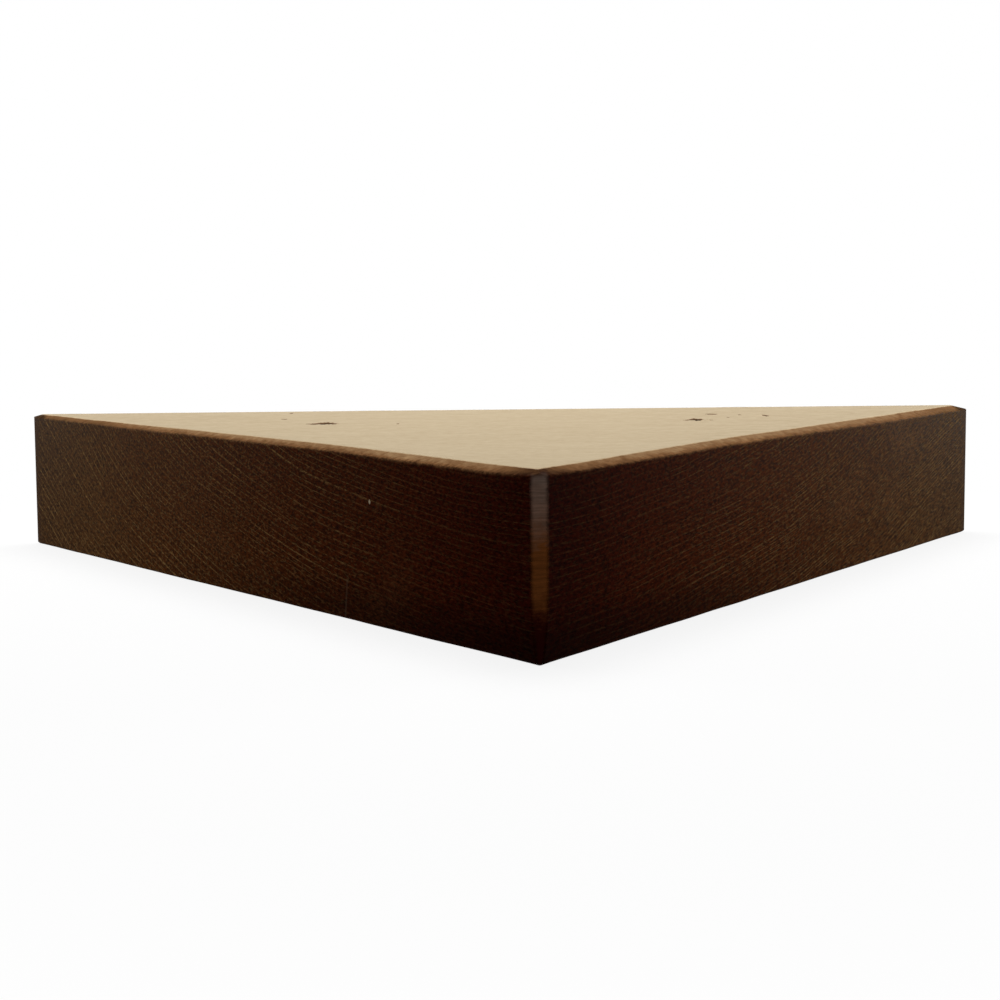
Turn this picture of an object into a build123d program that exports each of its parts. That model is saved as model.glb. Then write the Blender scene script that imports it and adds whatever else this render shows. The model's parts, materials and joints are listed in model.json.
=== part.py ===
from build123d import *
from math import cos, radians, sin
import os

# Triangular corner foot for furniture, cut from one block of solid hardwood.
# Millimetres, +Z up. The front corner points to -Y and the long back face looks to +Y.
# The origin is the middle of the underside, which stands on the floor.

# Block
side_length = 180.0          # each front face, measured to the sharp corners of the plan
front_angle = 90.0           # plan angle between the two front faces, degrees
height = 35.0                # planed thickness of the board

# Edges
front_edge_chamfer = 2.1     # set back along each front face from the sharp front corner
back_corner_radius = 0.6     # easing of the two acute upright corners
top_chamfer_width = 1.2      # inwards over the mounting face
top_chamfer_drop = 1.2       # down the sides
bottom_easing = 0.5          # broken edge round the underside, the same both ways

# Screw holes, drilled from below and right through the block
hole_diameter = 5.0          # clearance for a wood screw
hole_spacing = 90.0          # between the two holes, along the back face
hole_setback = 40.0          # from the back face to the line of the holes
head_diameter = 10.0         # countersink for the screw head, at the underside
head_angle = 90.0            # cone angle of the countersink, degrees

# Plan, worked out from the block
half_angle = radians(front_angle / 2)
half_width = side_length * sin(half_angle)
sharp_depth = side_length * cos(half_angle)
front_flat_half = front_edge_chamfer * sin(half_angle)
front_flat_depth = front_edge_chamfer * cos(half_angle)
back_y = (sharp_depth - front_flat_depth) / 2
front_y = -back_y

left_corner = Vector(-half_width, back_y)
right_corner = Vector(half_width, back_y)
front_flat_left = Vector(-front_flat_half, front_y)
front_flat_right = Vector(front_flat_half, front_y)
plan_corners = [left_corner, front_flat_left, front_flat_right, right_corner]
plan_sides = list(zip(plan_corners, plan_corners[1:] + plan_corners[:1]))


def edge_plane(start, end, level, inwards, rise):
    """Plane of a broken edge: it meets the side at a level and slopes in over the rise."""
    along = (end - start).normalized()
    outwards = along.cross(Vector(0, 0, 1))
    slope = Vector(0, 0, rise) - outwards * inwards
    normal = along.cross(slope) * (1 if rise > 0 else -1)
    return Plane(origin=start + Vector(0, 0, level), x_dir=along, z_dir=normal)


with BuildPart() as foot:
    # Plan with its two acute corners eased, raised to the board's thickness
    with BuildSketch():
        with BuildLine() as outline:
            Polyline(*plan_corners, close=True)
        make_face()
        acute_corners = outline.vertices().sort_by(Axis.Y)[-2:]
        fillet(acute_corners, back_corner_radius)
    extrude(amount=height)

    # Mitred chamfer round the mounting face, and a broken edge round the underside
    for start, end in plan_sides:
        split(bisect_by=edge_plane(start, end, height - top_chamfer_drop, top_chamfer_width, top_chamfer_drop),
              keep=Keep.BOTTOM)
        split(bisect_by=edge_plane(start, end, bottom_easing, bottom_easing, -bottom_easing),
              keep=Keep.BOTTOM)

    # Two countersunk screw holes in a line along the back
    hole_y = back_y - hole_setback
    hole_places = [Plane(origin=(side * hole_spacing / 2, hole_y, 0), z_dir=(0, 0, -1)) for side in (-1, 1)]
    with Locations(*hole_places):
        CounterSinkHole(hole_diameter / 2, head_diameter / 2, counter_sink_angle=head_angle)

os.makedirs("parts", exist_ok=True)
foot.part.label = "foot_block"
export_step(foot.part, "parts/foot_block.step")
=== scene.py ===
import bpy
import bmesh
import json
from math import cos, radians, sin, tan
from mathutils import Matrix, Vector, noise


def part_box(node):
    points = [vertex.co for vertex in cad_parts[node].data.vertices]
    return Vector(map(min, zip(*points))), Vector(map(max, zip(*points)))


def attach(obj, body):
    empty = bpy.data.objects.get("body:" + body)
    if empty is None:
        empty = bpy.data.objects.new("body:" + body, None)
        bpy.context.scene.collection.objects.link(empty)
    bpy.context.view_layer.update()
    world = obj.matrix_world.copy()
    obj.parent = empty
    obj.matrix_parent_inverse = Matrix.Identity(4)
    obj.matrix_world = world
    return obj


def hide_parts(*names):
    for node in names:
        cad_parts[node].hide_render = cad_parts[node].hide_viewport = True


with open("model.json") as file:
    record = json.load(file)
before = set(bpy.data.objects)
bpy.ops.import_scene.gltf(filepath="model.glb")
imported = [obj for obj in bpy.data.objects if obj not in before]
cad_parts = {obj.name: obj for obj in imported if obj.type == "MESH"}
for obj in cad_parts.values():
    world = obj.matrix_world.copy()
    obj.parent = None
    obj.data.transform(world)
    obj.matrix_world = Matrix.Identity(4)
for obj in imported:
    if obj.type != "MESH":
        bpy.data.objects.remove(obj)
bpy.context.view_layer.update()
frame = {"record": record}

millimetre = 0.001
closeBy = 1e-6    # metres within which two places are the same
cutGap = 1e-7     # metres within which a cut uses a vertex that is there already
lowCorner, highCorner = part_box("foot_block")
height = highCorner.z
frontY = lowCorner.y
backY = highCorner.y
mounts = {mount["name"]: mount for mount in frame["record"]["mounts"]}
screwHoles = mounts["screw_holes"]


# camera, fitted to the straight edges in the photograph
view = {
    "place": (-15.88, -280.89, 61.88),   # millimetres
    "turn": -1.558,                      # degrees
    "lookDown": 3.860,
    "roll": -0.452,
    "focal": 1.27193,                    # of the picture's width
    "shiftUp": -0.1042,                  # the foot was set in the middle of the picture afterwards
    "shiftRight": 0.0195,
    "sensor": 36.0,
    "nearest": 0.01,                     # metres
}


def addCamera():
    lens = bpy.data.cameras.new("camera")
    lens.sensor_width = view["sensor"]
    lens.lens = view["sensor"] * view["focal"]
    lens.shift_x = view["shiftRight"]
    lens.shift_y = view["shiftUp"]
    lens.clip_start = view["nearest"]
    camera = bpy.data.objects.new("camera", lens)
    bpy.context.scene.collection.objects.link(camera)
    turn = Matrix.Rotation(radians(view["turn"]), 4, "Z")
    tilt = Matrix.Rotation(radians(90 - view["lookDown"]), 4, "X")
    roll = Matrix.Rotation(radians(view["roll"]), 4, "Z")
    place = Matrix.Translation(Vector(view["place"]) * millimetre)
    camera.matrix_world = place @ turn @ tilt @ roll
    bpy.context.scene.camera = camera
    print("camera placed")


# node helpers
def plug(tree, socket, value):
    if isinstance(value, bpy.types.NodeSocket):
        tree.links.new(value, socket)
    else:
        socket.default_value = value


def addNode(tree, kind, inputs=None, **settings):
    made = tree.nodes.new(kind)
    for name, value in settings.items():
        setattr(made, name, value)
    for socket, value in (inputs or {}).items():
        plug(tree, made.inputs[socket], value)
    return made


def maths(tree, operation, *values, clamp=False):
    made = addNode(tree, "ShaderNodeMath", dict(enumerate(values)), operation=operation, use_clamp=clamp)
    return made.outputs[0]


def fade(tree, value, start, end, low=0.0, high=1.0):
    sockets = {"Value": value, "From Min": start, "From Max": end, "To Min": low, "To Max": high}
    made = addNode(tree, "ShaderNodeMapRange", sockets, interpolation_type="SMOOTHSTEP")
    return made.outputs["Result"]


def grainNoise(tree, vector, detail=2.0, roughness=0.5):
    sockets = {"Vector": vector, "Scale": 1.0, "Detail": detail, "Roughness": roughness}
    return addNode(tree, "ShaderNodeTexNoise", sockets).outputs["Fac"]


def stretch(tree, vector, x, y, z):
    return addNode(tree, "ShaderNodeVectorMath", {0: vector, 1: (x, y, z)}, operation="MULTIPLY").outputs[0]


def point(tree, x, y, z):
    return addNode(tree, "ShaderNodeCombineXYZ", {0: x, 1: y, 2: z}).outputs[0]


def inMillimetres(tree, vector):
    return stretch(tree, vector, 1 / millimetre, 1 / millimetre, 1 / millimetre)


def blend(tree, factor, a, b, mode="MIX"):
    made = addNode(tree, "ShaderNodeMix", data_type="RGBA", blend_type=mode, clamp_factor=True)
    for socket, value in ((0, factor), (6, a), (7, b)):
        plug(tree, made.inputs[socket], value)
    return made.outputs[2]


def shaded(tree, colour, light):
    return blend(tree, 1.0, colour, point(tree, light, light, light), "MULTIPLY")


def tones(tree, value, stops):
    made = addNode(tree, "ShaderNodeValToRGB", {"Fac": value})
    elements = made.color_ramp.elements
    while len(elements) < len(stops):
        elements.new(1.0)
    for element, (place, colour) in zip(elements, stops):
        element.position = place
        element.color = (*colour, 1.0)
    return made.outputs["Color"]


def product(tree, first, *others):
    for other in others:
        first = maths(tree, "MULTIPLY", first, other)
    return first


def without(tree, value):
    return maths(tree, "SUBTRACT", 1.0, value)


def scaled(tree, value, factor, offset=0.0):
    return maths(tree, "MULTIPLY_ADD", value, factor, offset)


def centred(tree, value, factor, base):
    return maths(tree, "MULTIPLY_ADD", maths(tree, "SUBTRACT", value, 0.5), factor, base)


# growth rings of the board, one figure through the whole block
board = {
    "pithHeight": 173.0,         # heart of the tree above the underside, mm
    "pithClimb": 0.353,          # how fast it climbs to the right
    "pithBack": -69.8,           # its place along the depth
    "pithDrift": -0.031,
    "wander": 5.0,               # how far the rings stray, mm
    "wanderGrain": (0.012, 0.03, 0.03),
    "patchGrain": (0.016, 0.045, 0.06),
    "ringStep": 1.45,            # mean width of a year's ring, mm
    "ringUneven": (0.16, 3.2),   # how often the width changes, and by how much
    "poreRow": 0.20,             # half width of the row of open pores that starts a ring, mm
    "rowCore": 0.3,              # share of that width where the row is full
    "secondRow": (10.0, 100.0, 0.0, 0.6),  # a second row comes in between these places to the right, mm
    "quietFront": (6.0, 75.0, 0.18, 1.1),  # few pores are open near the front edge, mm to either side
    "ringApart": 7.31,           # sets the pattern of each ring off from the next
    # grain of the patterns round the pith and along the board, and of the last two across the rings first
    "dashGrain": (1.1, 0.25),
    "gateGrain": (0.06, 0.03),
    "fineGrain": (2.6, 1.1, 0.28),
    "fibreGrain": (2.0, 1.4, 0.2),
    # noise levels between which each pattern comes in, and its strength at both
    "dashFade": (0.40, 0.60, 0.15, 1.0),
    "gateFade": (0.38, 0.58, 0.3, 1.0),
    "ringFade": (0.1, 0.9, 0.5, 1.0),
    "patchFade": (0.35, 0.60, 0.5, 1.0),
    "fineFade": (0.54, 0.68),
}


def makeRingFigure():
    tree = bpy.data.node_groups.new("ringFigure", "ShaderNodeTree")
    face = tree.interface
    face.new_socket("Vector", in_out="INPUT", socket_type="NodeSocketVector")
    for name in ("Pores", "Fine Pores", "Fibre", "Patch"):
        face.new_socket(name, in_out="OUTPUT", socket_type="NodeSocketFloat")
    entry = addNode(tree, "NodeGroupInput")
    leave = addNode(tree, "NodeGroupOutput")

    inMm = inMillimetres(tree, entry.outputs["Vector"])
    slow = stretch(tree, inMm, *board["wanderGrain"])
    strayNoise = addNode(tree, "ShaderNodeTexNoise", {"Vector": slow, "Scale": 1.0, "Detail": 1.0})
    half = (0.5, 0.5, 0.5)
    either = addNode(tree, "ShaderNodeVectorMath", {0: strayNoise.outputs["Color"], 1: half},
                     operation="SUBTRACT")
    stray = stretch(tree, either.outputs[0], 0.0, board["wander"], board["wander"])
    strayed = addNode(tree, "ShaderNodeVectorMath", {0: inMm, 1: stray}, operation="ADD")
    along, depth, up = addNode(tree, "ShaderNodeSeparateXYZ", {0: strayed.outputs[0]}).outputs

    # distance from the pith, counted down from it, and the way round it
    pithUp = scaled(tree, along, board["pithClimb"], board["pithHeight"])
    pithIn = scaled(tree, along, board["pithDrift"], board["pithBack"])
    aside = maths(tree, "SUBTRACT", depth, pithIn)
    below = maths(tree, "SUBTRACT", pithUp, up)
    squares = maths(tree, "MULTIPLY_ADD", aside, aside, product(tree, below, below))
    level = maths(tree, "SUBTRACT", pithUp, maths(tree, "SQRT", squares))
    around = scaled(tree, maths(tree, "ARCTAN2", aside, below), board["pithHeight"])

    def onRings(across, aroundGrain, alongGrain):
        return point(tree, across, scaled(tree, around, aroundGrain), scaled(tree, along, alongGrain))

    # rings of uneven width, each with a row of pores at its start and a weaker one in its middle
    often, much = board["ringUneven"]
    sockets = {"W": scaled(tree, level, often), "Scale": 1.0, "Detail": 1.0}
    levelNoise = addNode(tree, "ShaderNodeTexNoise", sockets, noise_dimensions="1D").outputs["Fac"]
    uneven = maths(tree, "MULTIPLY_ADD", levelNoise, much, level)
    rings = maths(tree, "DIVIDE", uneven, board["ringStep"])
    ringNumber = maths(tree, "FLOOR", rings)
    phase = maths(tree, "FRACT", rings)
    nearest = maths(tree, "MINIMUM", phase, without(tree, phase))
    middle = maths(tree, "ABSOLUTE", maths(tree, "SUBTRACT", phase, 0.5))
    rowEdges = (board["poreRow"], board["poreRow"] * board["rowCore"])
    row = fade(tree, scaled(tree, nearest, board["ringStep"]), *rowEdges)
    second = fade(tree, scaled(tree, middle, board["ringStep"]), *rowEdges)
    second = product(tree, second, fade(tree, along, *board["secondRow"]))
    row = maths(tree, "MAXIMUM", row, second)

    # the rows are broken into dashes, and they come and go along the ring
    ringWhite = addNode(tree, "ShaderNodeTexWhiteNoise", {"W": ringNumber}, noise_dimensions="1D")
    ringPlace = scaled(tree, ringNumber, board["ringApart"])
    dashes = grainNoise(tree, onRings(ringPlace, *board["dashGrain"]), 1.5)
    gate = grainNoise(tree, onRings(ringPlace, *board["gateGrain"]), 1.0)
    patch = grainNoise(tree, stretch(tree, inMm, *board["patchGrain"]), 1.0)
    quiet = fade(tree, maths(tree, "ABSOLUTE", along), *board["quietFront"])
    opening = product(tree, fade(tree, gate, *board["gateFade"]),
                      fade(tree, ringWhite.outputs["Value"], *board["ringFade"]), quiet,
                      fade(tree, patch, *board["patchFade"]))
    pores = product(tree, row, fade(tree, dashes, *board["dashFade"]), opening)

    # finer pores between the rows, and the fibre itself
    across, *lengthwise = board["fineGrain"]
    fine = grainNoise(tree, onRings(scaled(tree, level, across), *lengthwise), 1.0)
    finePores = product(tree, fade(tree, fine, *board["fineFade"]), quiet)
    across, *lengthwise = board["fibreGrain"]
    fibre = grainNoise(tree, onRings(scaled(tree, level, across), *lengthwise), 2.0, 0.6)

    results = {"Pores": pores, "Fine Pores": finePores, "Fibre": fibre, "Patch": patch}
    for name, value in results.items():
        tree.links.new(value, leave.inputs[name])
    print("ring figure made")
    return tree


# finish: dark stain on the sides, thin on the chamfers, none on the mounting face; painted shade darkens
# the sides towards the front corner, at their foot near the front and in the two sharp corners, and a
# painted sheen lies at the top of the rubbed front edge
finish = {
    "raw": [(0.25, (0.565, 0.449, 0.294)), (0.75, (0.635, 0.519, 0.350))],
    "rawUneven": {"mottle": 0.5, "fibre": 0.6, "ragged": 0.9},
    "rawPore": (0.36, 0.26, 0.15, 1.0),
    "rawPores": (0.22, 0.40),        # how far the fine pores and the rows of pores show on raw wood
    "stain": [(0.0, (0.62, 0.46, 0.27)), (0.35, (0.45, 0.288, 0.146)), (0.65, (0.20, 0.096, 0.039))],
    # full stain by the distance from the front edge, with painted shade that darkens it towards the front
    # corner
    "stainAndFrontShade": [
        (0.0, (0.0140, 0.0012, 0.0003)),
        (0.14, (0.0238, 0.0032, 0.0005)),
        (0.39, (0.0342, 0.0071, 0.0008)),
        (0.67, (0.0436, 0.0132, 0.0023)),
        (0.84, (0.0447, 0.0173, 0.0043)),
        (1.0, (0.0352, 0.0152, 0.0048)),
    ],
    "stainAndFrontShadeReach": 178.0,         # mm
    "stainAndFrontShadeFrom": (0.62, 0.94),
    "sideStain": 0.95,
    "stainPatch": 0.25,
    "lowShade": (11.0, 2.0, 0.0, 0.6),   # painted shade: darker below these heights, mm
    "lowShadeReach": (130.0, 10.0),      # and within these distances of the front edge
    "rightLight": ((4.0, 22.0), (95.0, 45.0), 0.25),   # the sides are lighter between these places on the right, mm
    "fibreLight": (0.25, 0.75, 0.3, 1.7),
    "fibreCalm": 0.9,                # the chamfers show that much less of the fibre
    "stainPore": (0.170, 0.098, 0.035, 1.0),
    "finePores": 0.30,
    "poreHold": (0.5, 0.85, 0.08, 0.95),   # pores show where the wood holds this much stain
    "raggedGrain": (0.5, 0.5, 0.9),
    "mottleGrain": (0.07, 0.30, 0.3),
    "rawEdge": (0.26, 0.02),         # the stain ends between these depths below the face, mm
    "rawEdgeRagged": 0.16,
    "thinEdge": (0.80, -0.80),       # and thins out between these, across the foot of the chamfer
    "thinEdgeRagged": 0.6,
    "chamferStain": 0.52,
    "chamferUneven": {"ragged": 0.25, "fibre": -0.12},
    # more stain on the chamfers between these distances from the front, an end or the middle, mm
    "nearFront": (30.0, 3.0, 0.12),
    "atFront": (8.0, 0.0, 0.25),
    "nearEnds": (80.0, 10.0, 0.13),
    "atEnds": (5.5, 1.5, 0.40),
    "onRight": (10.0, 50.0, 0.01),
    "jagged": 3.0,
    "frontWear": (1.85, 0.85),       # half width of the rubbed front edge, mm
    "frontWearAside": 0.12,
    "frontWearRagged": 0.7,
    "frontWearFoot": (0.0, 12.0, 0.35, 1.0),   # it is narrower at the foot
    "frontWearDepth": (4.0, 2.0),
    "frontWearShare": 0.9,
    # its tones by the share of the height: full stain at the foot, then thinner stain, with a greyish
    # painted sheen near the top
    "frontTones": [
        (0.20, (0.0180, 0.0013, 0.0008)),
        (0.38, (0.114, 0.0355, 0.0082)),
        (0.56, (0.114, 0.0355, 0.0082)),
        (0.76, (0.146, 0.082, 0.056)),
        (0.96, (0.141, 0.096, 0.075)),
    ],
    "frontTonesRagged": 0.25,
    "frontFibre": (0.35, 0.65),
    "cornerShade": (2.6, 0.6, 0.0, 0.6),   # painted shade: darker strip on the two sharp corners, mm from their ends
    "cornerRagged": 0.8,
    "cornerShadeTone": (0.03, 0.014, 0.007, 1.0),
    "speck": (-31.05, -33.33, 24.58),     # small pale chip in the left face, mm
    "speckSize": (0.36, 0.14),
    "speckFlat": 0.6,
    "speckPale": 0.5,
    "scratch": {"along": -36.55, "lean": 0.065, "width": (0.26, 0.08), "top": (10.0, 7.5), "depth": -22.0,
                "pale": 0.022},
    "markRagged": 4.0,
    "roughness": (0.48, 0.80),            # stained and raw
    "roughUneven": 0.2,
    "gloss": 0.003,
    "relief": {"fine": -0.3, "rows": -0.8, "fibre": 0.4, "strength": 0.4, "distance": 0.0002},
}


def makeBlockFinish(ringFigure):
    material = bpy.data.materials.new("stainedBlockWithShade")
    material.use_nodes = True
    tree = material.node_tree
    shader = tree.nodes["Principled BSDF"]
    where = addNode(tree, "ShaderNodeTexCoord").outputs["Object"]
    figure = addNode(tree, "ShaderNodeGroup", {"Vector": where}, node_tree=ringFigure).outputs
    inMm = inMillimetres(tree, where)
    along, depth, up = addNode(tree, "ShaderNodeSeparateXYZ", {0: inMm}).outputs
    behind = maths(tree, "SUBTRACT", depth, frontY / millimetre)
    toEnd = maths(tree, "SUBTRACT", highCorner.x / millimetre, maths(tree, "ABSOLUTE", along))
    below = addNode(tree, "ShaderNodeAttribute", attribute_name="below").outputs["Fac"]
    edge = addNode(tree, "ShaderNodeAttribute", attribute_name="chamfer").outputs["Fac"]
    ragged = grainNoise(tree, stretch(tree, inMm, *finish["raggedGrain"]), 3.0, 0.65)
    mottle = grainNoise(tree, stretch(tree, inMm, *finish["mottleGrain"]), 3.0)

    # how much stain the wood holds
    rawness = fade(tree, centred(tree, ragged, finish["rawEdgeRagged"], below), *finish["rawEdge"])
    thin = fade(tree, centred(tree, ragged, finish["thinEdgeRagged"], edge), *finish["thinEdge"])
    onSide = without(tree, thin)
    strips = (
        (behind, finish["nearFront"]),
        (centred(tree, ragged, finish["jagged"], behind), finish["atFront"]),
        (toEnd, finish["nearEnds"]),
        (centred(tree, ragged, finish["jagged"], toEnd), finish["atEnds"]),
        (along, finish["onRight"]),
    )
    chamferStain = finish["chamferStain"]
    for place, (start, end, more) in strips:
        chamferStain = maths(tree, "ADD", fade(tree, place, start, end, 0.0, more), chamferStain)
    chamferStain = centred(tree, ragged, finish["chamferUneven"]["ragged"], chamferStain)
    chamferStain = centred(tree, figure["Fibre"], finish["chamferUneven"]["fibre"], chamferStain)
    lost = maths(tree, "SUBTRACT", chamferStain, finish["sideStain"])
    held = maths(tree, "MULTIPLY_ADD", thin, lost, finish["sideStain"])
    held = centred(tree, figure["Patch"], finish["stainPatch"], held)
    held = maths(tree, "MULTIPLY", held, without(tree, rawness), clamp=True)

    # where the front edge is rubbed
    aside = maths(tree, "ABSOLUTE", maths(tree, "SUBTRACT", along, finish["frontWearAside"]))
    aside = centred(tree, ragged, finish["frontWearRagged"], aside)
    aside = maths(tree, "DIVIDE", aside, fade(tree, up, *finish["frontWearFoot"]))
    atEdge = fade(tree, behind, *finish["frontWearDepth"])
    rubbed = product(tree, fade(tree, aside, *finish["frontWear"]), atEdge, onSide)

    # raw wood
    rawTone = centred(tree, mottle, finish["rawUneven"]["mottle"], 0.5)
    rawTone = centred(tree, figure["Fibre"], finish["rawUneven"]["fibre"], rawTone)
    rawTone = centred(tree, ragged, finish["rawUneven"]["ragged"], rawTone)
    fine, rows = finish["rawPores"]
    rawPores = maths(tree, "MULTIPLY_ADD", figure["Fine Pores"], fine, scaled(tree, figure["Pores"], rows))
    raw = blend(tree, rawPores, tones(tree, rawTone, finish["raw"]), finish["rawPore"])

    # stained wood, darkened towards the front corner and at the foot near the front by painted shade, with
    # light and dark fibre
    frontEdge = point(tree, 0.0, frontY / millimetre, up)
    fromFront = addNode(tree, "ShaderNodeVectorMath", {0: inMm, 1: frontEdge}, operation="DISTANCE")
    fromFront = fromFront.outputs["Value"]
    # painted shade: the full stain darkens towards the front corner
    deepShade = tones(tree, scaled(tree, fromFront, 1 / finish["stainAndFrontShadeReach"]), finish["stainAndFrontShade"])
    full = fade(tree, held, *finish["stainAndFrontShadeFrom"])
    stainAndShade = blend(tree, full, tones(tree, held, finish["stain"]), deepShade)
    # painted shade: darker at the foot of the sides near the front
    low = fade(tree, centred(tree, ragged, finish["markRagged"], up), *finish["lowShade"])
    low = product(tree, low, fade(tree, fromFront, *finish["lowShadeReach"]))
    rise, fall, lighter = finish["rightLight"]
    patchy = product(tree, fade(tree, along, *rise), fade(tree, along, *fall), onSide)
    fibreLight = fade(tree, figure["Fibre"], *finish["fibreLight"])
    calm = scaled(tree, thin, finish["fibreCalm"])
    fibreLight = maths(tree, "MULTIPLY_ADD", without(tree, fibreLight), calm, fibreLight)
    fibreLight = product(tree, fibreLight, without(tree, low), scaled(tree, patchy, lighter, 1.0))
    stainAndShade = shaded(tree, stainAndShade, fibreLight)

    # its light pores, the rubbed front edge with its painted sheen, and the painted shade in the sharp
    # corners
    pores = scaled(tree, figure["Fine Pores"], finish["finePores"])
    pores = maths(tree, "ADD", pores, figure["Pores"], clamp=True)
    pores = product(tree, pores, fade(tree, held, *finish["poreHold"]), without(tree, low))
    stainAndShade = blend(tree, pores, stainAndShade, finish["stainPore"])
    upShare = centred(tree, ragged, finish["frontTonesRagged"], scaled(tree, up, millimetre / height))
    # the rubbed edge is real wear; the greyish top of its tones is a painted sheen
    wornAndSheen = tones(tree, upShare, finish["frontTones"])
    wornAndSheen = shaded(tree, wornAndSheen, scaled(tree, fibreLight, *finish["frontFibre"]))
    stainAndShade = blend(tree, scaled(tree, rubbed, finish["frontWearShare"]), stainAndShade, wornAndSheen)
    # painted shade in the two sharp corners
    corner = fade(tree, centred(tree, ragged, finish["cornerRagged"], toEnd), *finish["cornerShade"])
    stainAndShade = blend(tree, corner, stainAndShade, finish["cornerShadeTone"])

    # the chip and the scratch in the left face
    reach = addNode(tree, "ShaderNodeVectorMath", {0: inMm, 1: finish["speck"]}, operation="SUBTRACT")
    reach = stretch(tree, reach.outputs[0], 1.0, 1.0, finish["speckFlat"])
    reach = addNode(tree, "ShaderNodeVectorMath", {0: reach}, operation="LENGTH").outputs["Value"]
    speck = scaled(tree, fade(tree, reach, *finish["speckSize"]), finish["speckPale"])
    scratch = finish["scratch"]
    line = maths(tree, "SUBTRACT", along, scratch["along"])
    line = maths(tree, "ABSOLUTE", maths(tree, "MULTIPLY_ADD", up, -scratch["lean"], line))
    upTo = fade(tree, centred(tree, ragged, finish["markRagged"], up), *scratch["top"])
    onLeft = maths(tree, "LESS_THAN", depth, scratch["depth"])
    line = product(tree, fade(tree, line, *scratch["width"]), upTo, onLeft)
    marks = maths(tree, "MULTIPLY_ADD", line, scratch["pale"], speck, clamp=True)
    stainAndShade = blend(tree, marks, stainAndShade, finish["raw"][1][1] + (1.0,))
    tree.links.new(blend(tree, rawness, stainAndShade, raw), shader.inputs["Base Color"])

    # gloss and relief
    rough = fade(tree, rawness, 0.0, 1.0, *finish["roughness"])
    rough = centred(tree, figure["Fibre"], finish["roughUneven"], rough)
    rough = maths(tree, "MULTIPLY_ADD", pores, finish["roughUneven"], rough, clamp=True)
    tree.links.new(rough, shader.inputs["Roughness"])
    shader.inputs["Specular IOR Level"].default_value = finish["gloss"]
    relief = finish["relief"]
    surface = scaled(tree, figure["Pores"], relief["rows"])
    surface = maths(tree, "MULTIPLY_ADD", figure["Fine Pores"], relief["fine"], surface)
    surface = maths(tree, "MULTIPLY_ADD", figure["Fibre"], relief["fibre"], surface)
    sockets = {"Strength": relief["strength"], "Distance": relief["distance"], "Height": surface}
    bump = addNode(tree, "ShaderNodeBump", sockets)
    tree.links.new(bump.outputs["Normal"], shader.inputs["Normal"])
    print("block finish made")
    return material


# torn and drilled wood inside the holes and nicks, with painted shade that darkens it with depth
drilled = {
    "tones": [(0.3, (0.13, 0.065, 0.032)), (0.7, (0.30, 0.175, 0.095))],
    "fuzz": (900.0, 2600.0, 2600.0),
    # painted shade deeper in the holes and nicks
    "deepShade": (0.035, 0.022, 0.012, 1.0),
    "shadeFrom": (0.05, 0.36),        # painted shade comes in between these depths, mm below the face
    "shadeShare": 0.88,
    "roughness": 0.9,
    "gloss": 0.1,
    "relief": {"strength": 0.5, "distance": 0.0003},
}


def makeDrilledWood():
    material = bpy.data.materials.new("drilledWoodWithShade")
    material.use_nodes = True
    tree = material.node_tree
    shader = tree.nodes["Principled BSDF"]
    where = addNode(tree, "ShaderNodeTexCoord").outputs["Object"]
    fuzz = grainNoise(tree, stretch(tree, where, *drilled["fuzz"]), 3.0, 0.6)
    below = addNode(tree, "ShaderNodeAttribute", attribute_name="below").outputs["Fac"]
    # painted shade: darker with depth below the face
    deepShade = fade(tree, below, *drilled["shadeFrom"], 0.0, drilled["shadeShare"])
    colour = blend(tree, deepShade, tones(tree, fuzz, drilled["tones"]), drilled["deepShade"])
    tree.links.new(colour, shader.inputs["Base Color"])
    shader.inputs["Roughness"].default_value = drilled["roughness"]
    shader.inputs["Specular IOR Level"].default_value = drilled["gloss"]
    relief = drilled["relief"]
    sockets = {"Strength": relief["strength"], "Distance": relief["distance"], "Height": fuzz}
    bump = addNode(tree, "ShaderNodeBump", sockets)
    tree.links.new(bump.outputs["Normal"], shader.inputs["Normal"])
    print("drilled wood made")
    return material


# the block itself
foot = {
    "faceLength": 180.0 * millimetre,
    "frontChamfer": 2.1 * millimetre,
    "frontFacing": -0.99,                # its face looks at least this far to the front
    "runOut": 12.0 * millimetre,         # below this height the front chamfer runs out
    "runOutSteps": 6,
    "runOutLeft": 0.37,                  # share of its width left at the floor
    "cornerRadius": 0.8 * millimetre,
    "cornerSteps": 5,
    "cornerAngle": radians(45.0),
    "cornerReach": 3.2 * millimetre,     # edges this near the sharp corners stay as they are
    # drop of the top chamfers at the front and at the far end of each side in mm,
    # and their width for each mm of drop
    "topChamfer": {"left": (1.3, 0.95, 1.7), "right": (1.15, 1.38, 2.2), "back": (1.15, 1.15, 1.0)},
    "bottomEase": 0.5 * millimetre,
    "backStrip": 1.4 * millimetre,       # the back chamfer lies within this of the back
    "tipRound": 1.4 * millimetre,        # lower ends of the two sharp corners
    "tipSlopes": (30, 60),               # degrees
    "softFrom": radians(20.0),           # edges sharper than this are softened
    "softEdge": 0.22 * millimetre,
    "softSteps": 3,
    "longEdge": 100.0 * millimetre,
    "edgeCuts": 79,
    "wander": 0.09 * millimetre,         # the sander's unevenness along the edges
    "wanderLength": 14.0 * millimetre,
    "wanderSeed": 3,                     # noise_vector goes by it, noise doesn't
    "frontDip": 0.66 * millimetre,       # the face falls a little to the front corner
    "frontDipLength": 66.0 * millimetre,
}

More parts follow.
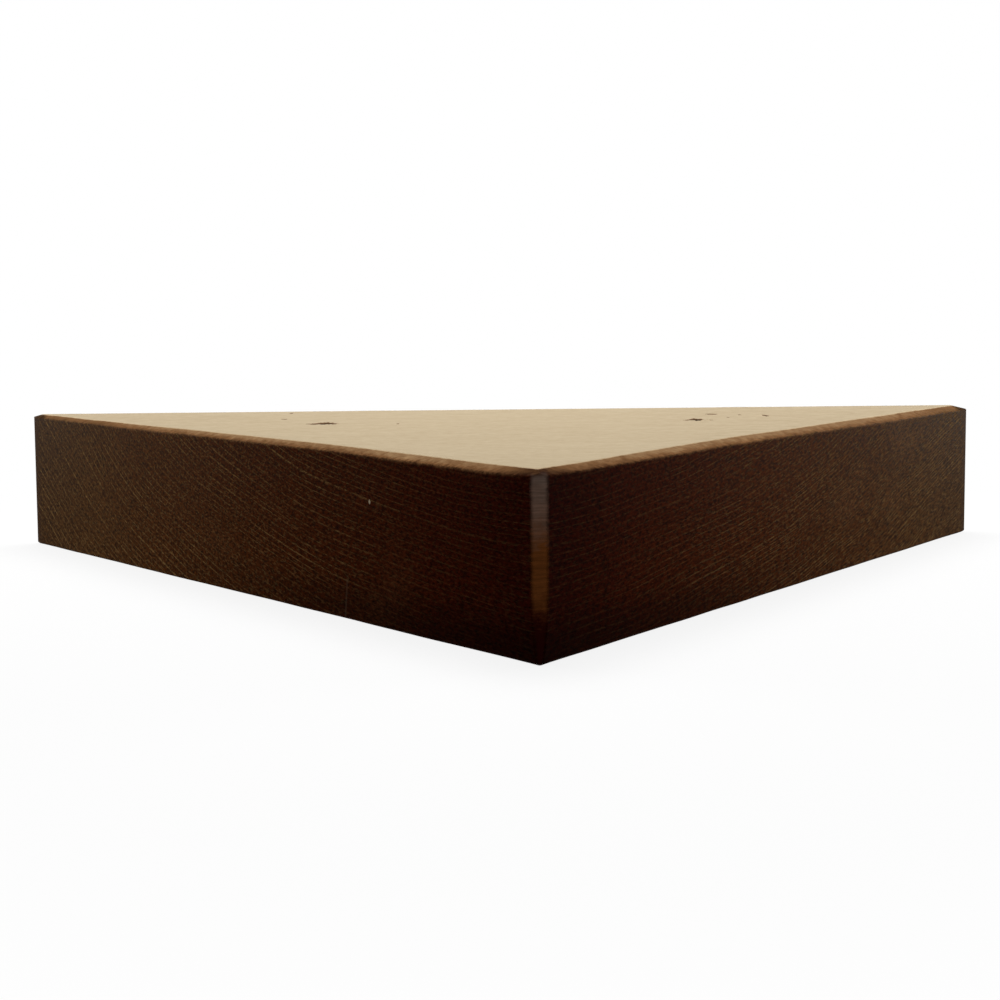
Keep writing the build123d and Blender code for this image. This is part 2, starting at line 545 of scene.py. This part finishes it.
hole = {
    "radius": screwHoles["dims"]["hole_r_mm"] * millimetre,
    "spacing": screwHoles["dims"]["spacing_x_mm"] * millimetre,
    "row": screwHoles["pos_m"][1],
    "headRadius": 5.0 * millimetre,
    "steps": 96,
    "rims": (2.62, 2.80, 3.05, 3.40, 3.85, 4.40, 5.00, 5.60),   # loops round the top of the hole, mm
    "wall": (1.6, 3.0, 5.0, 12.0),                               # loops down the wall, mm
    "lift": 0.10 * millimetre,                                   # fibres raised by the drill
    "liftGrain": 1400.0,
    "liftReach": 1.2,                                            # mm from the rim
    "tornFrom": 0.12 * millimetre,                               # torn wood shows below this depth
    "tornTaper": 0.8,                                            # how a tear narrows to its end
}

# wood torn out of each rim: direction in degrees, offset across, half width, length and depth in mm
tears = {
    -1: ((180, -0.2, 1.70, 1.8, 0.75), (180, 1.3, 0.50, 1.2, 0.35), (0, 0.2, 1.50, 0.8, 0.60),
         (0, -1.2, 0.40, 0.6, 0.30), (90, -1.2, 1.00, 1.7, 0.90), (90, -0.1, 1.00, 2.1, 1.00),
         (90, 1.2, 0.90, 1.2, 0.80)),
    1: ((180, -0.2, 1.10, 1.6, 0.35), (180, -1.3, 0.40, 0.9, 0.30), (0, 0.1, 1.00, 1.2, 0.30),
        (0, -1.2, 0.35, 0.6, 0.25), (90, -0.6, 0.80, 1.6, 1.00), (90, 0.3, 0.95, 2.5, 1.05),
        (90, 1.2, 0.80, 1.0, 0.70)),
}

# fibres that stand up on the near rim, in the same terms with their rise for a depth
burrs = {
    -1: ((270, -0.2, 2.3, 0.9, 0.08), (270, 0.8, 0.5, 0.7, 0.14)),
    1: ((270, 1.4, 1.5, 1.2, 0.38), (270, -1.0, 1.6, 0.8, 0.08)),
}

# nicks in the mounting face: place along X, distance from the back, half length, half width, depth in mm
nicks = (
    (51.5, 23.4, 1.40, 1.25, 0.45),
    (53.5, 33.3, 0.35, 0.70, 0.15),
    (58.1, 26.1, 0.42, 1.00, 0.40),
    (63.9, 29.0, 0.64, 2.50, 1.20),
    (-27.4, 41.7, 0.30, 1.00, 0.30),
    (-56.3, 25.4, 0.80, 0.85, 0.22),
    (-56.8, 7.1, 0.48, 1.20, 0.40),
)

nickShape = {
    "steps": 20,
    "grain": 2500.0,
    "jagged": 0.5,
    "loops": ((0.8, 0.8), (0.5, 0.2)),   # size of each loop beside the last, and its share of the depth
}


def planeOff(bm, place, outwards):
    everything = bm.verts[:] + bm.edges[:] + bm.faces[:]
    cut = bmesh.ops.bisect_plane(bm, geom=everything, dist=cutGap, plane_co=place, plane_no=outwards,
                                 clear_outer=True)
    rim = [item for item in cut["geom_cut"] if isinstance(item, bmesh.types.BMEdge)]
    bmesh.ops.edgeloop_fill(bm, edges=rim)


def bevelEdges(bm, edges, offset, segments):
    bmesh.ops.bevel(bm, geom=edges, offset=offset, offset_type="OFFSET", segments=segments, profile=0.5,
                    affect="EDGES", material=-1, clamp_overlap=False)


def uprightEdges(bm, test):
    found = []
    for edge in bm.edges:
        a, b = (vert.co for vert in edge.verts)
        if (a.xy - b.xy).length < closeBy and test(a):
            found.append(edge)
    return found


def makeBlank(bm):
    quarter = foot["cornerAngle"] / 2
    sharp = Vector((0.0, frontY - foot["frontChamfer"] * cos(radians(45)), 0.0))
    halfWidth = backY - sharp.y   # the front corner is a right angle
    plan = [Vector((-halfWidth, backY, 0.0)), sharp, Vector((halfWidth, backY, 0.0))]
    base = bm.faces.new([bm.verts.new(corner) for corner in plan])
    raised = bmesh.ops.extrude_face_region(bm, geom=[base])
    lifted = [item for item in raised["geom"] if isinstance(item, bmesh.types.BMVert)]
    bmesh.ops.translate(bm, verts=lifted, vec=(0.0, 0.0, height))
    bmesh.ops.recalc_face_normals(bm, faces=bm.faces[:])
    bevelEdges(bm, uprightEdges(bm, lambda at: abs(at.x) < closeBy), foot["frontChamfer"], 1)
    acute = uprightEdges(bm, lambda at: at.y > backY - closeBy)
    bevelEdges(bm, acute, foot["cornerRadius"] / tan(quarter), foot["cornerSteps"])

    # the front chamfer runs out to a nearly sharp corner at the floor
    for step in range(1, foot["runOutSteps"] + 1):
        flat = [face for face in bm.faces if face.normal.y < foot["frontFacing"]]
        geom = list(dict.fromkeys(item for face in flat for item in (*face.verts, *face.edges, face)))
        level = foot["runOut"] * step / foot["runOutSteps"]
        bmesh.ops.bisect_plane(bm, geom=geom, dist=cutGap, plane_co=(0, 0, level), plane_no=(0, 0, 1))
    for vert in bm.verts:
        if vert.co.y < frontY + closeBy and vert.co.z < foot["runOut"]:
            rise = vert.co.z / foot["runOut"]
            share = foot["runOutLeft"] + (1 - foot["runOutLeft"]) * rise * (2 - rise)
            vert.co.xy = sharp.xy + (vert.co.xy - sharp.xy) * share


def chamferBlank(bm):
    slant = cos(radians(45))
    up = Vector((0, 0, 1))
    sides = {
        "left": Vector((-slant, -slant, 0)),
        "right": Vector((slant, -slant, 0)),
        "front": Vector((0, -1, 0)),
        "back": Vector((0, 1, 0)),
    }
    for name, side in sides.items():
        lower = [vert.co.dot(side) for vert in bm.verts if vert.co.z < height / 2]
        planeOff(bm, side * max(lower) + up * foot["bottomEase"], side - up)
        if name not in foot["topChamfer"]:
            continue
        upper = [vert.co.dot(side) for vert in bm.verts if vert.co.z > height / 2]
        near, far, slope = foot["topChamfer"][name]
        along = side.cross(up) if side.x < 0 else up.cross(side)
        widening = along * (far - near) * millimetre / foot["faceLength"]
        start = along * min(vert.co.dot(along) for vert in bm.verts)
        shoulder = start + side * max(upper) + up * (height - near * millimetre)
        planeOff(bm, shoulder, side / slope + up + widening)
    quarter = foot["cornerAngle"] / 2
    for side in (-1, 1):
        tip = Vector((side * cos(quarter), sin(quarter), 0))
        reach = max(vert.co.dot(tip) for vert in bm.verts)
        for slope in foot["tipSlopes"]:
            outwards = tip * cos(radians(slope)) - up * sin(radians(slope))
            corner = tip * (reach - foot["tipRound"]) + up * foot["tipRound"]
            planeOff(bm, corner + outwards * foot["tipRound"], outwards)


def softenEdges(bm):
    bm.normal_update()
    sharp = []
    for edge in bm.edges:
        atCorner = min(abs(vert.co.x) for vert in edge.verts) > highCorner.x - foot["cornerReach"]
        lowest = max(vert.co.z for vert in edge.verts) < millimetre
        atTip = lowest and max(vert.co.y for vert in edge.verts) < frontY
        if edge.calc_face_angle(0.0) > foot["softFrom"] and not atCorner and not atTip:
            sharp.append(edge)
    bevelEdges(bm, sharp, foot["softEdge"], foot["softSteps"])


def longEdges(bm):
    return [edge for edge in bm.edges if edge.calc_length() > foot["longEdge"]]


def markDepth(bm):
    below = bm.verts.layers.float["below"]
    chamfer = bm.verts.layers.float["chamfer"]
    for vert in bm.verts:
        vert[below] = (height - vert.co.z) / millimetre
        share = min(max((vert.co.y - frontY) / (backY - frontY), 0.0), 1.0)
        name = "left" if vert.co.x < 0 else "right"
        if vert.co.y > backY - foot["backStrip"]:
            name = "back"
        near, far = foot["topChamfer"][name][:2]
        vert[chamfer] = vert[below] - (near + (far - near) * share)


def wanderEdges(bm, verts):
    noise.seed_set(foot["wanderSeed"])
    front = Vector((0.0, frontY))
    for vert in verts:
        shift = noise.noise_vector(vert.co / foot["wanderLength"]) * foot["wander"]
        if vert.co.z > height - closeBy or vert.co.z < closeBy:
            shift.z = 0.0
        vert.co += shift
        vert.co.z = max(vert.co.z, 0.0)
    for vert in bm.verts:
        near = max(1 - (vert.co.xy - front).length / foot["frontDipLength"], 0.0)
        if vert.co.z > height / 2:
            vert.co.z -= foot["frontDip"] * near * near * (3 - 2 * near)


def loopEdges(bm, verts):
    inside = set(verts)
    return [edge for edge in bm.edges if inside.issuperset(edge.verts)]


def growLoop(bm, edges, centre, scale, rise):
    grown = bmesh.ops.extrude_edge_only(bm, edges=edges)["geom"]
    verts = [item for item in grown if isinstance(item, bmesh.types.BMVert)]
    faces = [item for item in grown if isinstance(item, bmesh.types.BMFace)]
    bmesh.ops.scale(bm, verts=verts, vec=(scale, scale, 1.0), space=Matrix.Translation(-centre))
    bmesh.ops.translate(bm, verts=verts, vec=(0.0, 0.0, rise))
    return [item for item in grown if isinstance(item, bmesh.types.BMEdge)], verts, faces


def rimShape(offset, strokes):
    drop = 0.0
    for angle, across, halfWidth, length, depth in strokes:
        turned = Matrix.Rotation(radians(-angle), 2) @ offset.xy
        if turned.x < 0:
            continue
        rim = max(hole["radius"] ** 2 - turned.y ** 2, 0.0) ** 0.5
        left = 1 - max((turned.x - rim) / (length * millimetre), 0.0)
        if left <= 0:
            continue
        aside = abs(turned.y - across * millimetre) / (halfWidth * millimetre * left ** hole["tornTaper"])
        drop = max(drop, depth * millimetre * left * max(1 - aside ** 2, 0.0) ** 0.5)
    return drop


def drillHole(bm, side):
    centre = Vector((side * hole["spacing"] / 2, hole["row"], height))
    rim = bmesh.ops.create_circle(bm, cap_ends=False, segments=hole["steps"], radius=hole["radius"],
                                  matrix=Matrix.Translation(centre))["verts"]
    start = loopEdges(bm, rim)
    outer, radius, around, rings = start, hole["radius"], list(rim), []
    for step in hole["rims"]:
        outer, verts, faces = growLoop(bm, outer, centre, step * millimetre / radius, 0.0)
        radius = step * millimetre
        rings += faces
        if step != hole["rims"][-1]:
            around += verts
    for vert in around:
        offset = vert.co - centre
        away = (offset.xy.length - hole["radius"]) / millimetre
        close = max(1 - away / hole["liftReach"], 0.0)
        lift = noise.noise(vert.co * hole["liftGrain"]) * hole["lift"] * close
        vert.co.z += lift + rimShape(offset, burrs[side]) - rimShape(offset, tears[side])
    for face in rings:
        if min(vert.co.z for vert in face.verts) < height - hole["tornFrom"]:
            face.material_index = 1
    inner = start
    levels = [(height - step * millimetre, hole["radius"]) for step in hole["wall"]]
    levels += [(hole["headRadius"] - hole["radius"], hole["radius"]), (0.0, hole["headRadius"])]
    radius = hole["radius"]
    for level, wide in levels:
        inner, verts, faces = growLoop(bm, inner, centre, wide / radius, 0.0)
        radius = wide
        for vert in verts:
            vert.co.z = level
        for face in faces:
            face.material_index = 1
    return outer, inner


def cutNick(bm, along, fromBack, halfLength, halfWidth, depth):
    centre = Vector((along * millimetre, backY - fromBack * millimetre, height))
    shape = Matrix.Translation(centre) @ Matrix.Diagonal((halfLength, halfWidth, 1.0, 1.0))
    verts = bmesh.ops.create_circle(bm, cap_ends=False, segments=nickShape["steps"], radius=millimetre,
                                    matrix=shape)["verts"]
    for vert in verts:
        vert.co += (vert.co - centre) * noise.noise(vert.co * nickShape["grain"]) * nickShape["jagged"]
    edges = loopEdges(bm, verts)
    inner, torn = edges, []
    for scale, share in nickShape["loops"]:
        inner, verts, faces = growLoop(bm, inner, centre, scale, -share * depth * millimetre)
        torn += faces
    torn += bmesh.ops.edgeloop_fill(bm, edges=inner)["faces"]
    for face in torn:
        face.material_index = 1
    return edges


def flatFaces(bm, level):
    flat = [face for face in bm.faces if all(abs(vert.co.z - level) < closeBy for vert in face.verts)]
    return sorted(flat, key=lambda face: face.calc_center_median().x)


def buildBlock():
    bm = bmesh.new()
    bm.verts.layers.float.new("below")     # mm below the mounting face, for the stain
    bm.verts.layers.float.new("chamfer")   # mm below the foot of the chamfer
    makeBlank(bm)
    chamferBlank(bm)
    softenEdges(bm)
    everything = bm.verts[:] + bm.edges[:] + bm.faces[:]
    bmesh.ops.bisect_plane(bm, geom=everything, dist=cutGap, plane_co=(0, 0, 0), plane_no=(1, 0, 0))
    straight = longEdges(bm)
    topFaces = flatFaces(bm, height)
    underFaces = flatFaces(bm, 0.0)
    topRims = [list(face.edges) for face in topFaces]
    underRims = [list(face.edges) for face in underFaces]
    bmesh.ops.delete(bm, geom=topFaces + underFaces, context="FACES_ONLY")
    for side, topRim, underRim in zip((-1, 1), topRims, underRims):
        above, below = drillHole(bm, side)
        topRim += above
        for nick in nicks:
            if nick[0] * side > 0:
                topRim += cutNick(bm, *nick)
        for rim, facing in ((topRim, (0, 0, 1)), (underRim + below, (0, 0, -1))):
            bmesh.ops.triangle_fill(bm, edges=rim, use_beauty=True, use_dissolve=False, normal=facing)
    thinCorners = [edge for edge in bm.edges if edge.is_boundary]
    bmesh.ops.holes_fill(bm, edges=thinCorners, sides=0)
    cut = bmesh.ops.subdivide_edges(bm, edges=straight, cuts=foot["edgeCuts"], use_grid_fill=True)
    markDepth(bm)
    wanderEdges(bm, [item for item in cut["geom_inner"] if isinstance(item, bmesh.types.BMVert)])
    bmesh.ops.recalc_face_normals(bm, faces=bm.faces[:])
    loose = [edge for edge in bm.edges if len(edge.link_faces) != 2]
    print("block: volume", round(bm.calc_volume() * 1e9), "mm3, open edges", len(loose))
    mesh = bpy.data.meshes.new("footBlock")
    bm.to_mesh(mesh)
    bm.free()
    mesh.shade_smooth()
    piece = bpy.data.objects.new("footBlock", mesh)
    bpy.context.scene.collection.objects.link(piece)
    even = piece.modifiers.new("evenShading", "WEIGHTED_NORMAL")
    even.weight = 100
    mesh.materials.append(makeBlockFinish(makeRingFigure()))
    mesh.materials.append(makeDrilledWood())
    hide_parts("foot_block")
    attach(piece, "root")
    print("block built", len(mesh.vertices), "vertices", len(mesh.polygons), "faces")


# floor, lamps and world
ground = {
    "size": 4.0,
    "shade": 0.05,               # what it throws back on the foot
    "shadowShare": 0.14,         # how much of its look comes from the light that falls on it
    "plainFrom": (0.12, 0.22),   # metres from the middle, where it turns plain white
    "holeShade": 1.2,            # the shade below a hole ends at this many radii of the screw head
}


def seenRays(tree):
    path = addNode(tree, "ShaderNodeLightPath").outputs
    rays = maths(tree, "MAXIMUM", path["Is Camera Ray"], path["Is Glossy Ray"])
    return maths(tree, "MAXIMUM", rays, path["Is Transmission Ray"])


def addFloor():
    bm = bmesh.new()
    bmesh.ops.create_grid(bm, x_segments=1, y_segments=1, size=ground["size"])
    mesh = bpy.data.meshes.new("floor")
    bm.to_mesh(mesh)
    bm.free()
    floor = bpy.data.objects.new("floor", mesh)
    bpy.context.scene.collection.objects.link(floor)
    material = bpy.data.materials.new("paleFloor")
    material.use_nodes = True
    tree = material.node_tree
    tree.nodes.remove(tree.nodes["Principled BSDF"])
    seen = seenRays(tree)
    where = addNode(tree, "ShaderNodeTexCoord").outputs["Object"]
    away = addNode(tree, "ShaderNodeVectorMath", {0: where}, operation="LENGTH").outputs["Value"]
    near = fade(tree, away, ground["plainFrom"][1], ground["plainFrom"][0], 0.0, ground["shadowShare"])
    shade = blend(tree, seen, (ground["shade"],) * 3 + (1.0,), (1.0, 1.0, 1.0, 1.0))
    plain = addNode(tree, "ShaderNodeBsdfDiffuse", {"Color": shade})
    white = addNode(tree, "ShaderNodeEmission", {"Color": (1.0, 1.0, 1.0, 1.0), "Strength": 1.0})

    # below the screw holes the floor lies in the foot's own shade
    place = addNode(tree, "ShaderNodeSeparateXYZ", {0: where}).outputs
    aside = maths(tree, "SUBTRACT", maths(tree, "ABSOLUTE", place["X"]), hole["spacing"] / 2)
    beyond = maths(tree, "SUBTRACT", place["Y"], hole["row"])
    fromHole = maths(tree, "MAXIMUM", maths(tree, "ABSOLUTE", aside), maths(tree, "ABSOLUTE", beyond))
    unshaded = fade(tree, fromHole, hole["headRadius"], ground["holeShade"] * hole["headRadius"])
    share = product(tree, seen, without(tree, near), unshaded)
    both = addNode(tree, "ShaderNodeMixShader", {0: share, 1: plain.outputs[0], 2: white.outputs[0]})
    tree.links.new(both.outputs[0], tree.nodes["Material Output"].inputs["Surface"])
    mesh.materials.append(material)
    print("floor laid")


lamps = {
    "overhead": {
        "place": (0.0, 0.15, 0.55),
        "aim": (0.0, 0.0, 0.03),
        "size": (0.35, 0.20),
        "power": 2.46,
    },
    "front": {
        "place": (0.0, -0.75, 0.10),
        "aim": (0.0, 0.0, 0.02),
        "size": (0.30, 0.20),
        "power": 1.5,
    },
    "leftPanel": {
        "place": (-0.42, 0.14, 0.06),
        "aim": (-0.09, 0.02, 0.02),
        "size": (0.20, 0.10),
        "power": 1.16,
    },
    "rightPanel": {
        "place": (0.42, 0.14, 0.06),
        "aim": (0.09, 0.02, 0.02),
        "size": (0.20, 0.10),
        "power": 1.26,
    },
}


def addLamps():
    for name, lamp in lamps.items():
        light = bpy.data.lights.new(name, "AREA")
        light.shape = "RECTANGLE"
        light.size, light.size_y = lamp["size"]
        light.energy = lamp["power"]
        holder = bpy.data.objects.new(name, light)
        bpy.context.scene.collection.objects.link(holder)
        holder.location = lamp["place"]
        away = Vector(lamp["place"]) - Vector(lamp["aim"])
        holder.rotation_euler = away.to_track_quat("Z", "Y").to_euler()
    print("lamps hung")


studio = {
    "lit": 0.14,     # strength of the world's light on the foot
    "shown": 1.0,    # white where it is seen
}


def setWorld():
    world = bpy.data.worlds.new("studio")
    bpy.context.scene.world = world
    world.use_nodes = True
    tree = world.node_tree
    sky = tree.nodes["Background"]
    light = fade(tree, seenRays(tree), 0.0, 1.0, studio["lit"], studio["shown"])
    tree.links.new(light, sky.inputs["Strength"])
    sky.inputs["Color"].default_value = (1.0, 1.0, 1.0, 1.0)
    print("world set")


addCamera()
buildBlock()
addFloor()
addLamps()
setWorld()
bpy.context.scene.view_settings.view_transform = "Standard"
